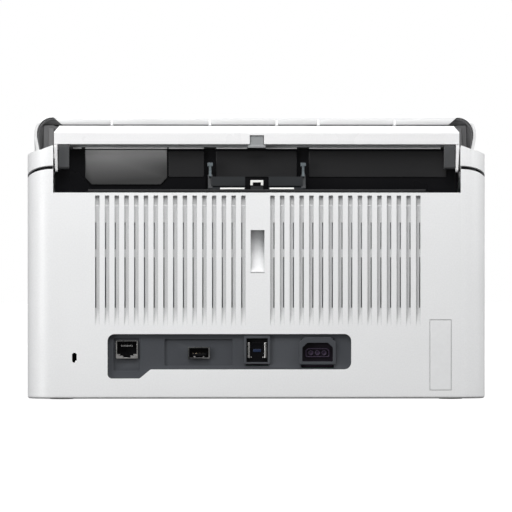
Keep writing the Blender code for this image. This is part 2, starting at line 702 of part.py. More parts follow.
def make_hatch_inner():
    floor = [(-76, 24.5), (-24, 24.5), on_path(162, 1.5), on_path(116, 1.5),
             on_path(116, 3.6), on_path(161.5, 3.6), (-24.5, 26.6), (-76, 26.6)]
    inner = prism(floor, along_x, -112, 112)
    holes = [slab(off_path, (-108, 108), SCAN_WINDOW, (-1, 7))]
    for x in TYRES:
        holes.append(slab(off_path, (x - 9.5, x + 9.5), (115, 128.8), (-1, 5)))
        holes.append(slab(off_path, (x - 9.5, x + 9.5), (145.5, 158.5), (-1, 5)))
    cut(inner, group(holes))
    for side in (1, -1):
        cheek = [(-76, 24.5), (-24, 24.5), on_path(162, 1.5), on_path(116, 1.5),
                 (-12, 92), (-60, 118), (-80, 118), (-92.5, 46), (-86, 24.5)]
        plate = prism(cheek, along_x, *span(side, 111, 113.5))
        holes = [rod(axis, 2.3, *span(side, 105, 120), 12) for axis in (FEED_PINCH, EXIT_PINCH)]
        fuse(inner, plate)
        cut(inner, group(holes))
        fuse(inner, rod(HATCH_PIVOT, 2.9, *span(side, 112, 128.5), 16))
    part("hatch_inner", inner, DARK)
    for name, axis in (("feed_pinch", FEED_PINCH), ("exit_pinch", EXIT_PINCH)):
        roller = rod(axis, 2, -113.2, 113.2, 12)
        for x in TYRES:
            fuse(roller, rod(axis, 6, x - 7.5, x + 7.5, 20))
        part(name, smooth(roller), GREY, (0, *axis))


def make_controls():
    panel = prism(rounded((-52, 52), (14.4, 73.6), 4), off_face, -0.9, 1.0)
    cut(panel, slab(off_face, (-44.4, 44.4), (19.6, 68.4), (0.2, 4)))
    part("control_panel", panel, BLACK)
    part("touch_screen", slab(off_face, (-44, 44), (20, 68), (0.4, 1.2)), SCREEN)
    for name, x, radius in BUTTONS:
        button = rod((x, 44), radius, -4, 1.0, 24, off_face)
        part(name, smooth(button), LIGHT, (x, *on_face(44, 0)))
    latch = box((-24, 24), (-70, -62), (116, 127))
    part("hatch_latch", latch, GREY, (0, -66, 120))


# ---------------------------------------------------------------- output side
STOP_HINGE = (-90.0, 11.7)


def make_output():
    tray = box((-121.8, 121.8), (-96, 58), (4.7, 14.5))
    cut(tray, box((-119.3, 119.3), (-93.5, 62), (7.0, 30)))
    cut(tray, prism(rounded((-20, 20), (9, 30), 4), along_y, -110, -90))
    cut(tray, box((-64, 64), (-110, -90), (7.0, 30)))
    for side in (1, -1):
        fuse(tray, box(span(side, 62, 64), (-96, 55), (6, 10.6)))
    part("output_tray", tray, DARK)
    extension = box((-61.5, 61.5), (-95.5, 40), (7.4, 9.6))
    for side in (1, -1):
        lug = box(span(side, 53, 57), (-94, -86), (9, 13.5))
        fuse(extension, lug)
        cut(extension, rod(STOP_HINGE, 1.3, *span(side, 50, 60), 12))
    cut(extension, box((-49, 49), (-100, -88), (0, 30)))
    part("output_extension", extension, DARK)
    flap = box((-52.4, 52.4), (-91.3, -78.6), (10.5, 12.7))
    fuse(flap, rod(STOP_HINGE, 1.0, -56.5, 56.5, 12))
    part("paper_stop", flap, GREY, (0, *STOP_HINGE))


make_rear_cover()
both_sides(make_side_cover)
make_bottom_cover()
make_feet()
make_ports()
both_sides(make_frame)
make_lower_chute()
make_scanners()
make_feeder_cover()
make_service_plate()
make_retard()
make_drive()
both_sides(make_guide)
make_racks()
make_tray()
make_tray_extension()
make_hatch()
make_hatch_inner()
make_controls()
make_output()
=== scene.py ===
"""Looks of the sheet-fed document scanner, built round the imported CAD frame.

Lengths are worked out in millimetres and stored in metres.
Front is -Y, and X runs to the right seen from the front.
"""
import json
import math

import bmesh
import bpy
from mathutils import Matrix, Vector


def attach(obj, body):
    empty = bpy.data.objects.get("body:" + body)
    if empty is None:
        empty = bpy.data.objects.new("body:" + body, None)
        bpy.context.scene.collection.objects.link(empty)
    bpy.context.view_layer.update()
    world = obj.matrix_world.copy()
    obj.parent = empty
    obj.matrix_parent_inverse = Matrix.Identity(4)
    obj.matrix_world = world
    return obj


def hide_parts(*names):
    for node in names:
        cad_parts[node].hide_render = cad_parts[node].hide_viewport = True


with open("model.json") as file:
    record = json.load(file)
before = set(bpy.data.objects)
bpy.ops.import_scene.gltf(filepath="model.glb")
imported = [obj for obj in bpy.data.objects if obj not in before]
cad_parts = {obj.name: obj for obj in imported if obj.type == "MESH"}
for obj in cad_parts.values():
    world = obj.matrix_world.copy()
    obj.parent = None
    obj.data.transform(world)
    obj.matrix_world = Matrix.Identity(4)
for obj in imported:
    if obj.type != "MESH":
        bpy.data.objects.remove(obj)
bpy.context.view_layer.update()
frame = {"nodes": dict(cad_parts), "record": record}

MM = 0.001
NODES = frame["nodes"]

# ---------------------------------------------------------------- driving dimensions, mm
HALF = 155.0  # half the overall width
BACK = 99.0  # rear face
FRONT = -99.0
TOP = 193.0  # rear edge of the hood
WALL = 2.5  # thickness of the housing
GAP = 0.3  # between neighbouring pieces
CORNER = 18.0  # radius of the upright corners
MOUTH = 137.7  # half width of the rear opening
MOUTH_SILL = 139.7  # height of the sill of the rear opening
SEAM_BACK = 155.9  # parting line of the housing at the rear, and how fast it falls forwards
SEAM_FALL = 0.38
SEAM_GAP = 2.3
TRAY_TILT = math.radians(11.5)  # the folded tray falls forwards this much
HINGE = (90.0, 155.5)  # y, z of the input tray hinge
LINER = 12.0  # distance of the tray's paper side from the hinge
PATH_TOP = (95.6, 141.6)  # y, z where the paper path enters; it falls forwards at 45 degrees
HATCH_PIVOT = (-80.0, 26.0)
HATCH_REACH = 103.5  # radius that the swinging front hatch needs


# ---------------------------------------------------------------- frames of reference
def on_path(s, t):
    """(y, z) at a distance s down the paper path and t off it, towards the front."""
    side = math.sqrt(0.5)
    return PATH_TOP[0] - side * (s + t), PATH_TOP[1] - side * (s - t)


def on_tray(u, w):
    """(y, z) at a distance u forwards of the hinge along the folded tray and w above the hinge."""
    cos, sin = math.cos(TRAY_TILT), math.sin(TRAY_TILT)
    return HINGE[0] - u * cos - w * sin, HINGE[1] - u * sin + w * cos


FACE_FOOT = (-98.0, 45.0)  # the sloping front face of the hatch
FACE_HEAD = (-84.0, 127.5)
FACE_LENGTH = math.dist(FACE_FOOT, FACE_HEAD)


def on_face(g, f):
    """(y, z) at a distance g up the front face of the hatch and f out of it."""
    up = ((FACE_HEAD[0] - FACE_FOOT[0]) / FACE_LENGTH, (FACE_HEAD[1] - FACE_FOOT[1]) / FACE_LENGTH)
    return FACE_FOOT[0] + g * up[0] - f * up[1], FACE_FOOT[1] + g * up[1] + f * up[0]


def along_x(y, z, x):
    return x, y, z


def along_y(x, z, y):
    return x, y, z


def along_z(x, y, z):
    return x, y, z


def off_path(x, s, t):
    return x, *on_path(s, t)


def off_tray(x, u, w):
    return x, *on_tray(u, w)


def off_tray_section(x, w, u):
    return x, *on_tray(u, w)


def off_face(x, g, f):
    return x, *on_face(g, f)


# ---------------------------------------------------------------- shapes
def prism(outline, place, low, high):
    """A straight solid: the outline lies across the direction in which it runs from low to high."""
    mesh = bmesh.new()
    ends = [[mesh.verts.new(Vector(place(a, b, c)) * MM) for a, b in outline] for c in (low, high)]
    count = len(outline)
    mesh.faces.new(ends[0])
    mesh.faces.new(ends[1])
    for i in range(count):
        j = (i + 1) % count
        mesh.faces.new((ends[0][i], ends[0][j], ends[1][j], ends[1][i]))
    bmesh.ops.recalc_face_normals(mesh, faces=mesh.faces)
    data = bpy.data.meshes.new("shape")
    mesh.to_mesh(data)
    mesh.free()
    shape = bpy.data.objects.new("shape", data)
    bpy.context.scene.collection.objects.link(shape)
    return shape


def rectangle(a, b):
    return [(a[0], b[0]), (a[1], b[0]), (a[1], b[1]), (a[0], b[1])]


def box(x, y, z):
    return prism(rectangle(x, y), along_z, *z)


def circle(centre, radius, sides=24):
    steps = [2 * math.pi * i / sides for i in range(sides)]
    return [(centre[0] + radius * math.cos(a), centre[1] + radius * math.sin(a)) for a in steps]


def rod(centre, radius, low, high, sides=24, place=along_x):
    return prism(circle(centre, radius, sides), place, low, high)


def slab(place, x, a, b):
    """A block whose sides follow one of the sloping frames of reference."""
    return prism(rectangle(x, a), place, *b)


def fillet(corners, steps=4):
    """The outline through (a, b, radius) corners, each turned into an arc of its radius."""
    outline = []
    for i, (a, b, radius) in enumerate(corners):
        here = Vector((a, b))
        if radius == 0:
            outline.append((a, b))
            continue
        before = (Vector(corners[i - 1][:2]) - here).normalized()
        after = (Vector(corners[(i + 1) % len(corners)][:2]) - here).normalized()
        half = before.angle(after) / 2
        centre = here + (before + after).normalized() * (radius / math.sin(half))
        start = here + before * (radius / math.tan(half)) - centre
        end = here + after * (radius / math.tan(half)) - centre
        first = math.atan2(start.y, start.x)
        turn = (math.atan2(end.y, end.x) - first + math.pi) % (2 * math.pi) - math.pi
        for k in range(steps + 1):
            angle = first + turn * k / steps
            outline.append((centre.x + radius * math.cos(angle), centre.y + radius * math.sin(angle)))
    return outline


def rounded(a, b, radius, steps=4):
    return fillet([(p, q, radius) for p, q in rectangle(a, b)], steps)


def arc(centre, radius, first, last, steps):
    """Points on a circle, the angles in degrees."""
    angles = [math.radians(first + (last - first) * k / steps) for k in range(steps + 1)]
    return [(centre[0] + radius * math.cos(a), centre[1] + radius * math.sin(a)) for a in angles]


def boolean(shape, operation, tools):
    for tool in tools:
        modifier = shape.modifiers.new(operation.lower(), "BOOLEAN")
        modifier.operation = operation
        modifier.solver = "EXACT"
        modifier.object = tool
        tool.hide_render = True
        tool.display_type = "WIRE"
    return shape


def cut(shape, *tools):
    return boolean(shape, "DIFFERENCE", tools)


def fuse(shape, *tools):
    return boolean(shape, "UNION", tools)


def common(shape, *tools):
    return boolean(shape, "INTERSECT", tools)


def group(shapes):
    """Shapes that don't touch each other, as one cutter."""
    mesh = bmesh.new()
    for shape in shapes:
        mesh.from_mesh(shape.data)
        bpy.data.objects.remove(shape)
    data = bpy.data.meshes.new("group")
    mesh.to_mesh(data)
    mesh.free()
    made = bpy.data.objects.new("group", data)
    bpy.context.scene.collection.objects.link(made)
    return made


def both_sides(build):
    """What build(side) makes on the right and on the left."""
    return [build(side) for side in (1, -1)]


def span(side, near, far):
    """An interval of x on one side of the machine."""
    return tuple(sorted((side * near, side * far)))


# ---------------------------------------------------------------- housing
def plan(inset, low, high):
    """The footprint of the housing, set in by a distance, as a straight solid."""
    sides = (-HALF + inset, HALF - inset), (FRONT + inset, BACK - inset)
    return prism(rounded(*sides, CORNER - inset, 24), along_z, low, high)


def seam(y):
    return SEAM_BACK - SEAM_FALL * (BACK - WALL - y)


BEYOND = 120.0  # well outside the housing, for cutters


def above_seam(offset):
    edge = [(-BEYOND, seam(-BEYOND) + offset), (BEYOND, seam(BEYOND) + offset)]
    return prism([*edge, (BEYOND, 220), (-BEYOND, 220)], along_x, -200, 200)


# ---------------------------------------------------------------- procedural materials
class Nodes:
    """A short way to wire the node tree of a new material."""

    def __init__(self, name):
        self.material = bpy.data.materials.new(name)
        self.material.use_nodes = True
        self.tree = self.material.node_tree
        self.shader = self.tree.nodes["Principled BSDF"]
        self.place = self.add("ShaderNodeTexCoord").outputs["Object"]

    def add(self, kind, **values):
        node = self.tree.nodes.new(kind)
        for key, value in values.items():
            if key in node.inputs:
                node.inputs[key].default_value = value
            else:
                setattr(node, key, value)
        return node

    def link(self, source, target):
        self.tree.links.new(source, target)

    def noise(self, scale, detail=2.0, stretch=None):
        texture = self.add("ShaderNodeTexNoise", Scale=scale, Detail=detail)
        place = self.place
        if stretch:
            mapping = self.add("ShaderNodeMapping")
            mapping.inputs["Scale"].default_value = stretch
            self.link(place, mapping.inputs["Vector"])
            place = mapping.outputs["Vector"]
        self.link(place, texture.inputs["Vector"])
        return texture.outputs["Fac"]

    def spread(self, source, low, high, start=0.3, end=0.7):
        """The source, rescaled from start..end to low..high."""
        ranged = self.add("ShaderNodeMapRange")
        for label, value in (("From Min", start), ("From Max", end), ("To Min", low), ("To Max", high)):
            ranged.inputs[label].default_value = value
        self.link(source, ranged.inputs["Value"])
        return ranged.outputs["Result"]

    def shaded(self, colour, source, amount):
        """The colour, made darker and lighter by up to the amount."""
        tint = self.add("ShaderNodeMixRGB", blend_type="MULTIPLY")
        tint.inputs["Fac"].default_value = 1.0
        if isinstance(colour, tuple):
            tint.inputs["Color1"].default_value = (*colour, 1.0)
        else:
            self.link(colour, tint.inputs["Color1"])
        self.link(self.spread(source, 1 - amount, 1 + amount), tint.inputs["Color2"])
        return tint.outputs["Color"]

    def worn_edges(self, colour, edge_colour, amount):
        """The colour, rubbed towards another where the surface turns sharply outwards."""
        geometry = self.add("ShaderNodeNewGeometry")
        wear = self.spread(geometry.outputs["Pointiness"], 0.0, amount, 0.52, 0.62)
        mix = self.add("ShaderNodeMixRGB", blend_type="MIX")
        self.link(wear, mix.inputs["Fac"])
        self.link(colour, mix.inputs["Color1"])
        mix.inputs["Color2"].default_value = (*edge_colour, 1.0)
        return mix.outputs["Color"]

    def times(self, colour, factor):
        mix = self.add("ShaderNodeMixRGB", blend_type="MULTIPLY")
        mix.inputs["Fac"].default_value = 1.0
        self.link(colour, mix.inputs["Color1"])
        self.link(factor, mix.inputs["Color2"])
        return mix.outputs["Color"]

    def shade_crevices(self, colour, amount, reach_mm=4.0):
        """Painted shade: the colour, darker by up to the amount where little open sky is within reach."""
        open_sky = self.add("ShaderNodeAmbientOcclusion", samples=6)
        open_sky.inputs["Distance"].default_value = reach_mm * MM
        return self.times(colour, self.spread(open_sky.outputs["AO"], 1 - amount, 1.0, 0.35, 0.95))

    def bump(self, source, strength, depth_mm):
        node = self.add("ShaderNodeBump")
        node.inputs["Strength"].default_value = strength
        node.inputs["Distance"].default_value = depth_mm * MM
        self.link(source, node.inputs["Height"])
        self.link(node.outputs["Normal"], self.shader.inputs["Normal"])


def moulded(name, colour, roughness, grain=1400.0, depth=0.02, strength=0.25, specular=0.5, wear=0.25,
            crevice_shade=0.0, painted_glow=0.0, shade_by_height=None):
    """Moulded plastic: spark-eroded grain, faint flow shading, polished edges, painted shade in the corners.

    The emission amount is painted light, standing in for light through thin white walls.
    The last argument paints shade by height: (low z, high z, shade at low z, shade at high z, power).
    """
    nodes = Nodes(name)
    base = nodes.shaded(colour, nodes.noise(9.0, 3.0), 0.018)
    base = nodes.shaded(base, nodes.noise(grain * 0.7, 1.0), 0.02)
    # Painted shade: ambient occlusion darkens the colour in corners, crevices and recesses.
    if crevice_shade:
        base = nodes.shade_crevices(base, crevice_shade)
    # Painted shade: the colour darker or lighter with height.
    if shade_by_height:
        height = nodes.add("ShaderNodeSeparateXYZ")
        nodes.link(nodes.place, height.inputs["Vector"])
        low_z, high_z, low_shade, high_shade, power = shade_by_height
        climb = nodes.add("ShaderNodeMath", operation="POWER")
        nodes.link(nodes.spread(height.outputs["Z"], 0.0, 1.0, low_z * MM, high_z * MM), climb.inputs[0])
        climb.inputs[1].default_value = power
        base = nodes.times(base, nodes.spread(climb.outputs["Value"], low_shade, high_shade, 0.0, 1.0))
    lighter = tuple(min(1.0, c * 1.15 + 0.015) for c in colour)
    nodes.link(nodes.worn_edges(base, lighter, wear), nodes.shader.inputs["Base Color"])
    nodes.link(nodes.spread(nodes.noise(35.0, 4.0), roughness - 0.05, roughness + 0.06),
               nodes.shader.inputs["Roughness"])
    nodes.shader.inputs["Specular IOR Level"].default_value = specular
    nodes.shader.inputs["Emission Color"].default_value = (1.0, 1.0, 1.0, 1.0)
    # Emission: painted light, so the walls shine though they are no lamp.
    nodes.shader.inputs["Emission Strength"].default_value = painted_glow
    nodes.bump(nodes.noise(grain, 2.0), strength, depth)
    return nodes.material


def metal(name, colour, roughness, stretch=(1.0, 1.0, 1.0), grain=500.0):
    """Plated or brushed metal: streaks along one direction and cloudy tarnish."""
    nodes = Nodes(name)
    base = nodes.shaded(colour, nodes.noise(25.0, 4.0), 0.08)
    nodes.link(nodes.worn_edges(base, (0.9, 0.9, 0.9), 0.4), nodes.shader.inputs["Base Color"])
    nodes.shader.inputs["Metallic"].default_value = 1.0
    nodes.link(nodes.spread(nodes.noise(grain, 2.0, stretch), roughness * 0.7, roughness * 1.4),
               nodes.shader.inputs["Roughness"])
    nodes.bump(nodes.noise(grain, 2.0, stretch), 0.15, 0.01)
    return nodes.material


def rubber(name, colour, roughness):
    """Ground rubber: matt, with a coarse grain and powdery patches."""
    nodes = Nodes(name)
    base = nodes.shaded(colour, nodes.noise(60.0, 5.0), 0.2)
    nodes.link(base, nodes.shader.inputs["Base Color"])
    nodes.link(nodes.spread(nodes.noise(120.0, 3.0), roughness - 0.1, roughness + 0.08),
               nodes.shader.inputs["Roughness"])
    nodes.bump(nodes.noise(900.0, 3.0), 0.5, 0.04)
    return nodes.material


def clear(name, colour, roughness):
    """Glass over a dark optical bay: smooth, with the faintest smear in its gloss."""
    nodes = Nodes(name)
    nodes.link(nodes.shaded(colour, nodes.noise(20.0), 0.05), nodes.shader.inputs["Base Color"])
    nodes.link(nodes.spread(nodes.noise(14.0, 4.0), roughness, roughness + 0.05),
               nodes.shader.inputs["Roughness"])
    nodes.shader.inputs["Coat Weight"].default_value = 0.6
    nodes.bump(nodes.noise(4.0), 0.02, 0.05)
    return nodes.material


def circuit(name):
    """Green solder mask over copper tracks."""
    nodes = Nodes(name)
    brick = nodes.add("ShaderNodeTexBrick", Scale=90.0)
    nodes.link(nodes.place, brick.inputs["Vector"])
    brick.inputs["Color1"].default_value = (0.02, 0.15, 0.07, 1)
    brick.inputs["Color2"].default_value = (0.025, 0.19, 0.09, 1)
    brick.inputs["Mortar"].default_value = (0.05, 0.28, 0.13, 1)
    speckled = nodes.shaded(brick.outputs["Color"], nodes.noise(40.0), 0.15)
    nodes.link(speckled, nodes.shader.inputs["Base Color"])
    nodes.shader.inputs["Roughness"].default_value = 0.4
    nodes.bump(brick.outputs["Fac"], 0.4, 0.05)
    return nodes.material


# The housing white carries painted shade in its vent channels and other recesses.
WHITE = moulded("white_plastic", (0.83, 0.835, 0.84), 0.42, crevice_shade=0.36)
WHITE_GLOSS = moulded("white_plastic_fine", (0.80, 0.80, 0.805), 0.3, grain=2200, depth=0.008)
# Hood plastic: a little painted light as emission, and slight painted shade in its crevices.
HOOD_WHITE = moulded("thin_white_plastic", (0.86, 0.865, 0.87), 0.42, crevice_shade=0.1, painted_glow=0.05)
# Hood rim: painted shade, darker towards its lower edge, and painted light as emission.
RIM_PAINTED_SHADE_WHITE = moulded("rim_painted_shade_plastic", (0.86, 0.865, 0.87), 0.45, painted_glow=0.36,
                    shade_by_height=(186.6, 189.6, 0.30, 0.95, 1.0))
LIGHT = moulded("light_grey_plastic", (0.42, 0.43, 0.435), 0.42)
# Dark grey sheet standing in for shade inside the white hood; the slide rails on the tray share this grey.
SHADE_LINING_AND_RAIL_GREY = moulded("shade_lining_and_rail_grey", (0.11, 0.11, 0.112), 0.5, specular=0.3)
RAIL_GREY = moulded("rail_grey_plastic", (0.26, 0.27, 0.275), 0.45)
DARK = moulded("dark_plastic", (0.008, 0.009, 0.010), 0.42, specular=0.2, wear=0.4)
SATIN = moulded("satin_dark_plastic", (0.019, 0.019, 0.020), 0.34, specular=0.22, wear=0.5)
SLATE = moulded("slate_plastic", (0.056, 0.060, 0.068), 0.5, specular=0.3, wear=0.5)
GREY = moulded("grey_plastic", (0.068, 0.070, 0.073), 0.35, specular=0.3, wear=0.5)
GUIDE_GREY = moulded("guide_plastic", (0.013, 0.015, 0.017), 0.4, specular=0.3, wear=0.6)
# Lighter copy of the guide plastic: painted highlight on the guides' rear edges and knobs.
GUIDE_HIGHLIGHT_GREY = moulded("guide_edge_highlight_plastic", (0.10, 0.12, 0.13), 0.35, specular=0.4, wear=0.6)
# Service plate: painted shade, much darker towards the bottom and lighter towards the top.
PLATE_GREY = moulded("plate_plastic", (0.52, 0.52, 0.522), 0.5, specular=0.06, wear=0.2,
                     shade_by_height=(146.0, 168.0, 0.065, 0.75, 4.5))
# Lighter copy of the dark liner plastic for its lips: painted highlight along the edge.
LIP_HIGHLIGHT_GREY = moulded("lip_highlight_plastic", (0.75, 0.75, 0.751), 0.4, specular=0.25)
BAND_GREY = moulded("band_plastic", (0.30, 0.31, 0.32), 0.45, specular=0.25)
BLACK = moulded("gloss_black", (0.004, 0.004, 0.005), 0.25, specular=0.12, grain=300, depth=0.002,
                strength=0.05)
INLET = moulded("inlet_plastic", (0.006, 0.003, 0.008), 0.4, specular=0.15, wear=0.5)
INLET_EDGE = moulded("inlet_rim_plastic", (0.040, 0.026, 0.052), 0.35, specular=0.3, wear=0.5)
SCREEN = clear("screen_glass", (0.010, 0.013, 0.018), 0.05)
GLASS = clear("scan_glass", (0.05, 0.06, 0.06), 0.03)
SHEET = metal("zinc_sheet", (0.45, 0.46, 0.47), 0.38, (1.0, 6.0, 1.0))
SHAFT = metal("ground_steel", (0.62, 0.62, 0.63), 0.2, (0.2, 8.0, 8.0))
NICKEL = metal("nickel_shell", (0.50, 0.49, 0.47), 0.28)
GOLD = metal("contact_gold", (0.75, 0.55, 0.22), 0.22)
WIRE = metal("socket_wire", (0.035, 0.03, 0.022), 0.4)
DARK_METAL = metal("blackened_shell", (0.022, 0.022, 0.023), 0.4)
RUBBER = rubber("black_rubber", (0.02, 0.02, 0.021), 0.75)
TYRE = rubber("grey_rubber", (0.09, 0.10, 0.11), 0.7)
NYLON = moulded("nylon_white", (0.78, 0.78, 0.76), 0.4)
BOARD = circuit("board_green")
LABEL = moulded("label_paper", (0.775, 0.78, 0.785), 0.5, grain=500, depth=0.01)
BLUE = moulded("port_blue", (0.010, 0.020, 0.055), 0.35, specular=0.3)

CAD_MATERIAL = {
    "white_plastic": WHITE, "light_grey_plastic": LIGHT, "dark_plastic": DARK, "slate_plastic": SLATE,
    "grey_plastic": GREY, "gloss_black": BLACK, "screen_glass": SCREEN, "scan_glass": GLASS,
    "steel_sheet": SHEET, "bright_steel": SHAFT, "nickel_shell": NICKEL, "black_rubber": RUBBER,
    "grey_rubber": TYRE, "nylon_white": NYLON, "board_green": BOARD, "label_paper": LABEL, "port_blue": BLUE,
}


def rounded_edges(obj, width, segments=2, angle=32):
    """Merges coplanar triangles, then rolls a small radius over every sharp edge."""
    weld = obj.modifiers.new("weld", "WELD")
    weld.merge_threshold = 0.000002
    flat = obj.modifiers.new("flat", "DECIMATE")
    flat.decimate_type = "DISSOLVE"
    flat.angle_limit = math.radians(0.6)
    bevel = obj.modifiers.new("edges", "BEVEL")
    bevel.width = width * MM
    bevel.segments = segments
    bevel.limit_method = "ANGLE"
    bevel.angle_limit = math.radians(angle)
    bevel.miter_outer = "MITER_ARC"
    bevel.harden_normals = False
    normals = obj.modifiers.new("normals", "WEIGHTED_NORMAL")
    normals.keep_sharp = True


def dress_cad_nodes():
    """Every CAD node that stays gets its own procedural finish and softened edges."""
    for entry in frame["record"]["subparts"]:
        node = NODES[entry["node"]]
        node.data.materials.clear()
        node.data.materials.append(CAD_MATERIAL[entry["material_slot"]])
        node.data.shade_smooth()
        rounded_edges(node, 0.2)


def bake(shape):
    """Applies the Booleans and clears up the flat faces."""
    graph = bpy.context.evaluated_depsgraph_get()
    data = bpy.data.meshes.new_from_object(shape.evaluated_get(graph))
    tools = {m.object for m in shape.modifiers if m.type == "BOOLEAN"}
    shape.modifiers.clear()
    shape.data = data
    for tool in tools:
        remove_tree(tool)
    mesh = bmesh.new()
    mesh.from_mesh(data)
    bmesh.ops.remove_doubles(mesh, verts=mesh.verts, dist=2e-6)
    bmesh.ops.dissolve_limit(mesh, angle_limit=math.radians(0.3), verts=mesh.verts, edges=mesh.edges)
    mesh.to_mesh(data)
    mesh.free()
    return shape


def remove_tree(tool):
    for below in {m.object for m in tool.modifiers if m.type == "BOOLEAN"}:
        remove_tree(below)
    bpy.data.objects.remove(tool)


def piece(name, shape, material, body, stands_for=(), edge=0.3, segments=3, angle=32):
    """A finished visible piece: baked, softened, painted and riding on its body."""
    if any(m.type == "BOOLEAN" for m in shape.modifiers):
        bake(shape)
    shape.name = name
    shape.data.name = name
    shape.data.materials.clear()
    shape.data.materials.append(material)
    shape.data.shade_smooth()
    if edge:
        bevel = shape.modifiers.new("edges", "BEVEL")
        bevel.width = edge * MM
        bevel.segments = segments
        bevel.limit_method = "ANGLE"
        bevel.angle_limit = math.radians(angle)
        bevel.miter_outer = "MITER_ARC"
        normals = shape.modifiers.new("normals", "WEIGHTED_NORMAL")
        normals.keep_sharp = True
    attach(shape, body)
    if stands_for:
        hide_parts(*stands_for)
    return shape


# ---------------------------------------------------------------- white housing
FEW = 0.35  # mm, the radius on most moulded edges


def rounded_foot(shape, radius):
    """Rounds the lowest outer edge of an upright solid."""
    mesh = bmesh.new()
    mesh.from_mesh(shape.data)
    lowest = min(vert.co.z for vert in mesh.verts)
    edges = [edge for edge in mesh.edges if all(vert.co.z < lowest + 1e-6 for vert in edge.verts)]
    bmesh.ops.bevel(mesh, geom=edges, offset=radius * MM, segments=5, profile=0.5, affect="EDGES")
    mesh.to_mesh(shape.data)
    mesh.free()
    return shape


VENT_MIDDLE = -0.5  # the rear vents: their centre line, and the channels counted outwards from it
VENT_FIRST, VENT_PITCH = 9.85, 6.57


def rear_shell():
    """Lower housing: rear wall with vents, finger notch, port opening and lock slot, and both sides."""
    shell = rounded_foot(plan(0, 0.6, 160), 1.5)
    inside = plan(WALL, -5, 170)
    notch_boss = box((-7.5, 7.5), (87, BACK - 1), (82, 118))
    shell = fuse(cut(shell, inside), notch_boss)
    mouth = prism([(-MOUTH, 200), (-MOUTH, MOUTH_SILL), (MOUTH, MOUTH_SILL), (MOUTH, 200)], along_y,
                  60, BEYOND)
    front = box((-MOUTH, MOUTH), (-BEYOND, -70), (-5, 180))
    cut(shell, mouth, front, above_seam(-SEAM_GAP / 2))

    notch = [(BEYOND, 114.4), (90, 114.4), *arc((112, 104), 22, 180, 234, 16), (BEYOND, 86.1)]
    cut(shell, prism(notch, along_x, -5.0, 4.4), box((-5.0, 4.4), (BACK - 0.6, 110), (85.3, 86.2)))

    channel = [(BEYOND, 137.7), (BACK - 2.25, 137.7), (BACK - 2.25, 131.6), (BACK - 1.7, 130.8),
               (BACK - 1.7, 62), (BACK - 0.8, 54.5), (BACK + 0.1, 48.9), (BEYOND, 48.9)]
    channels, slits = [], []
    for i in range(16):
        for side in (1, -1):
            middle = VENT_MIDDLE + side * (VENT_FIRST + VENT_PITCH * i)
            channels.append(prism(channel, along_x, middle - 1.5, middle + 1.5))
            slit = sorted((middle + side * 0.7, middle + side * 1.4))
            slits.append(box(slit, (BACK - 4, BACK + 1), (101.5, 119.5)))
            slits.append(box(slit, (BACK - 4, BACK + 1), (62, 96)))
    cut(shell, group(channels), group(slits))

    ports = fillet([(101, 44.2, 4.7), (101, 14.2, 3), (79.4, 14.2, 2), (72, 20.3, 2),
                    (-63.6, 20.3, 4.7), (-63.6, 44.2, 4.7)], 8)
    lock = rounded((121.8, 124.9), (25, 31.6), 1.4, 6)
    cut(shell, prism(ports, along_y, 90, 110), prism(lock, along_y, 90, 110))
    cut(shell, box((-131.5, -116.5), (BACK - 0.5, 110), (6, 54)))
    for side, name in ((1, "right"), (-1, "left")):
        half = box(span(side, 8, 112), (BACK - WALL - 1.3, BACK - WALL - 0.3), (60, 121.5))
        piece(f"vent_screen_{name}", half, RAIL_GREY, "housing", edge=0)
    return piece("rear_shell", shell, WHITE, "housing", ["rear_cover"], edge=FEW, segments=2)


def seam_seal():
    """Dark seal closing the parting line, just inside the outer surface."""
    ring = cut(plan(1.3, 60, 200), plan(2.2, 50, 210))
    mouth = box((-MOUTH - 0.5, MOUTH + 0.5), (-BEYOND, BEYOND), (40, 220))
    cut(ring, mouth, above_seam(SEAM_GAP / 2 - 0.05))
    common(ring, above_seam(-SEAM_GAP / 2 + 0.05))
    return piece("seam_seal", ring, BLACK, "housing", edge=0)


COVER_TOP = 11.4  # height of the side covers above the hinge, square to the folded tray


def pod(side):
    """Upper side cover: its top follows the tray, with a small edge, and its foot follows the seam."""
    def section(inset, foot):
        corners = [(side * (MOUTH + inset), foot, 0), (side * (HALF - inset + 0.5), foot, 0),
                   (side * (HALF - inset + 0.5), COVER_TOP - 0.4 - inset, 1.2),
                   (side * 145.5, COVER_TOP + 0.3 - inset, 3),
                   (side * (MOUTH + inset), COVER_TOP + 2.8 - inset, 0.5)]
        return prism(fillet(corners, 8), off_tray_section, -40, 230)

    outer = section(0, -90)
    common(outer, plan(0, 40, 220), above_seam(SEAM_GAP / 2))
    inner = section(2.2, -100)
    common(inner, plan(2.2, 30, 230), above_seam(-10))
    cut(outer, inner, rod(HINGE, 2.8, *span(side, MOUTH - 2, MOUTH + 5), 32))
    name = "right" if side > 0 else "left"
    return piece(f"{name}_pod", outer, WHITE, "housing", [f"{name}_side_cover"], edge=0.5, segments=3)


# ---------------------------------------------------------------- folded input tray
PLATE_FROM, PLATE_TO = 37.0, 182.0
HOOD_HALF = 150.8
HOOD_BACK = 57.0


